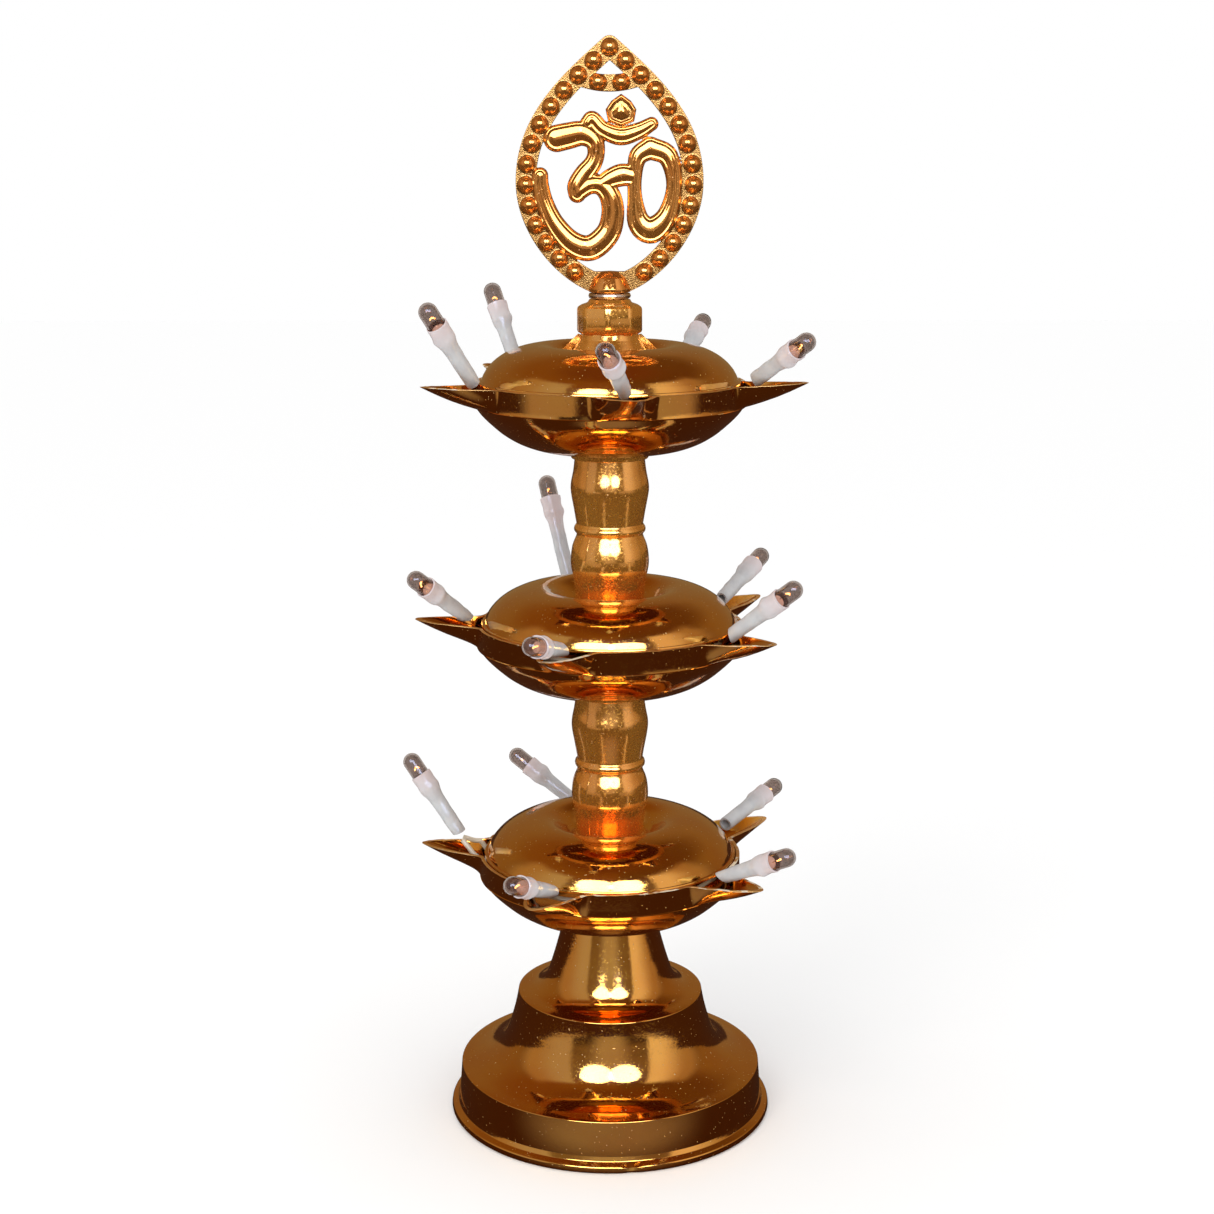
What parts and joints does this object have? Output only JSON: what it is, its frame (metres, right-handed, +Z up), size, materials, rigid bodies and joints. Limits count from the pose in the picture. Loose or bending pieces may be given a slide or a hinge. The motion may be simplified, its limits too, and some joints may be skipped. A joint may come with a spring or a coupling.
{
  "type": "electric samai lamp",
  "caption": "Tiered festival lamp stand: turned stem on a stepped round base, spouted bowls with domed lids, tilting miniature lamps in the spouts, pierced leaf finial.",
  "frame": {"origin": "centre of the base's flat underside, on the stem's axis", "axes": "+Z up along the stem, -Y the front the finial's sign faces, +X to the viewer's right from the front"},
  "size_m": [0.1176, 0.1252, 0.315],
  "materials": {
    "gold_deep": "vacuum-metallised orange gold, mirror bright under clear lacquer",
    "gold_light": "vacuum-metallised pale gold, mirror bright under clear lacquer",
    "cover_board": "plain dark moulding",
    "rubber": "matt black",
    "steel": "zinc plated",
    "lead_pvc": "ivory PVC insulation, satin",
    "spacer_plastic": "natural moulded tube",
    "sleeve_white": "cool white heat-shrunk tube, slightly translucent",
    "smoked_glass": "smoky brown clear glass, lit filament"
  },
  "bodies": {
    "stem": {"base_shell": "gold_deep", "base_cover": "cover_board", "cord_grommet": "rubber", "tie_pipe": "steel", "bottom_washer": "steel", "bottom_nut": "steel", "column_lower": "gold_light", "column_upper": "gold_light", "cap_nut": "gold_light", "trunk_lead": "lead_pvc"},
    "tier_lower": {"bowl_lower": "gold_deep", "lid_lower": "gold_deep", "spacer_lower": "spacer_plastic", "harness_lower": "lead_pvc", "lead_over_rim": "lead_pvc", "lead_into_spout": "lead_pvc"},
    "lamp_lower_1": {"sleeve_lower_1": "sleeve_white", "bulb_lower_1": "smoked_glass"},
    "lamp_lower_2": {"sleeve_lower_2": "sleeve_white", "bulb_lower_2": "smoked_glass"},
    "lamp_lower_3": {"sleeve_lower_3": "sleeve_white", "bulb_lower_3": "smoked_glass"},
    "lamp_lower_4": {"sleeve_lower_4": "sleeve_white", "bulb_lower_4": "smoked_glass"},
    "lamp_lower_5": {"sleeve_lower_5": "sleeve_white", "bulb_lower_5": "smoked_glass"},
    "tier_middle": {"bowl_middle": "gold_deep", "lid_middle": "gold_deep", "spacer_middle": "spacer_plastic", "harness_middle": "lead_pvc"},
    "lamp_middle_1": {"sleeve_middle_1": "sleeve_white", "bulb_middle_1": "smoked_glass"},
    "lamp_middle_2": {"sleeve_middle_2": "sleeve_white", "bulb_middle_2": "smoked_glass"},
    "lamp_middle_3": {"sleeve_middle_3": "sleeve_white", "bulb_middle_3": "smoked_glass"},
    "lamp_middle_4": {"sleeve_middle_4": "sleeve_white", "bulb_middle_4": "smoked_glass"},
    "lamp_middle_5": {"sleeve_middle_5": "sleeve_white", "bulb_middle_5": "smoked_glass"},
    "tier_upper": {"bowl_upper": "gold_deep", "lid_upper": "gold_deep", "spacer_upper": "spacer_plastic", "harness_upper": "lead_pvc"},
    "lamp_upper_1": {"sleeve_upper_1": "sleeve_white", "bulb_upper_1": "smoked_glass"},
    "lamp_upper_2": {"sleeve_upper_2": "sleeve_white", "bulb_upper_2": "smoked_glass"},
    "lamp_upper_3": {"sleeve_upper_3": "sleeve_white", "bulb_upper_3": "smoked_glass"},
    "lamp_upper_4": {"sleeve_upper_4": "sleeve_white", "bulb_upper_4": "smoked_glass"},
    "lamp_upper_5": {"sleeve_upper_5": "sleeve_white", "bulb_upper_5": "smoked_glass"},
    "finial_ring": {"lock_ring": "steel"},
    "finial": {"finial": "gold_light"}
  },
  "joints": [
    {"name": "tier_lower_swivel", "type": "hinge", "parent": "stem", "child": "tier_lower", "pos_m": [0, 0, 0.06], "axis": [0, 0, 1], "range_deg": [-60, 60]},
    {"name": "lamp_lower_1_tilt", "type": "hinge", "parent": "tier_lower", "child": "lamp_lower_1", "pos_m": [-0.04493, 0.00393, 0.0842], "axis": [0.2588, 0.9659, 0], "range_deg": [-8, 20]},
    {"name": "lamp_lower_2_tilt", "type": "hinge", "parent": "tier_lower", "child": "lamp_lower_2", "pos_m": [-0.01602, -0.03774, 0.081], "axis": [-0.9063, 0.4226, 0], "range_deg": [-7, 20]},
    {"name": "lamp_lower_3_tilt", "type": "hinge", "parent": "tier_lower", "child": "lamp_lower_3", "pos_m": [0.03094, -0.0269, 0.081], "axis": [-0.6293, -0.7771, 0], "range_deg": [-8, 20]},
    {"name": "lamp_lower_4_tilt", "type": "hinge", "parent": "tier_lower", "child": "lamp_lower_4", "pos_m": [0.03514, 0.02112, 0.081], "axis": [0.7431, -0.6691, 0], "range_deg": [0, 20]},
    {"name": "lamp_lower_5_tilt", "type": "hinge", "parent": "tier_lower", "child": "lamp_lower_5", "pos_m": [-0.00922, 0.03995, 0.081], "axis": [0.2924, 0.9563, 0], "range_deg": [-8, 20]},
    {"name": "tier_middle_swivel", "type": "hinge", "parent": "stem", "child": "tier_middle", "pos_m": [0, 0, 0.13], "axis": [0, 0, 1], "range_deg": [-60, 60]},
    {"name": "lamp_middle_1_tilt", "type": "hinge", "parent": "tier_middle", "child": "lamp_middle_1", "pos_m": [-0.041, 0, 0.151], "axis": [-0.766, 0.6428, 0], "range_deg": [-8, 20]},
    {"name": "lamp_middle_2_tilt", "type": "hinge", "parent": "tier_middle", "child": "lamp_middle_2", "pos_m": [-0.01267, -0.03899, 0.151], "axis": [-0.9511, 0.309, 0], "range_deg": [0, 20]},
    {"name": "lamp_middle_3_tilt", "type": "hinge", "parent": "tier_middle", "child": "lamp_middle_3", "pos_m": [0.03317, -0.0241, 0.151], "axis": [-0.5592, -0.829, 0], "range_deg": [-8, 20]},
    {"name": "lamp_middle_4_tilt", "type": "hinge", "parent": "tier_middle", "child": "lamp_middle_4", "pos_m": [0.03317, 0.0241, 0.151], "axis": [0.8192, -0.5736, 0], "range_deg": [-8, 20]},
    {"name": "lamp_middle_5_tilt", "type": "hinge", "parent": "tier_middle", "child": "lamp_middle_5", "pos_m": [-0.01267, 0.03899, 0.1547], "axis": [0.8746, 0.4848, 0], "range_deg": [-8, 12]},
    {"name": "tier_upper_swivel", "type": "hinge", "parent": "stem", "child": "tier_upper", "pos_m": [0, 0, 0.2], "axis": [0, 0, 1], "range_deg": [-60, 60]},
    {"name": "lamp_upper_1_tilt", "type": "hinge", "parent": "tier_upper", "child": "lamp_upper_1", "pos_m": [-0.03746, -0.01668, 0.221], "axis": [-0.682, 0.7314, 0], "range_deg": [-8, 20]},
    {"name": "lamp_upper_2_tilt", "type": "hinge", "parent": "tier_upper", "child": "lamp_upper_2", "pos_m": [0.00429, -0.04077, 0.221], "axis": [-0.9703, 0.2419, 0], "range_deg": [-8, 20]},
    {"name": "lamp_upper_3_tilt", "type": "hinge", "parent": "tier_upper", "child": "lamp_upper_3", "pos_m": [0.0401, -0.00852, 0.221], "axis": [-0.8192, -0.5736, 0], "range_deg": [-8, 20]},
    {"name": "lamp_upper_4_tilt", "type": "hinge", "parent": "tier_upper", "child": "lamp_upper_4", "pos_m": [0.0205, 0.03551, 0.221], "axis": [0.9336, -0.3584, 0], "range_deg": [-8, 20]},
    {"name": "lamp_upper_5_tilt", "type": "hinge", "parent": "tier_upper", "child": "lamp_upper_5", "pos_m": [-0.02743, 0.03047, 0.221], "axis": [0.829, 0.5592, 0], "range_deg": [-8, 18]},
    {"name": "finial_lift", "type": "slide", "parent": "stem", "child": "finial_ring", "axis": [0, 0, 1], "range_m": [0, 0.00406]},
    {"name": "finial_turn", "type": "hinge", "parent": "finial_ring", "child": "finial", "pos_m": [0, 0, 0.2443], "axis": [0, 0, 1], "range_deg": [0, 1171]}
  ],
  "couplings": [
    {"joint": "finial_turn", "follows": "finial_lift", "rad_per_m": 5026.5}
  ]
}
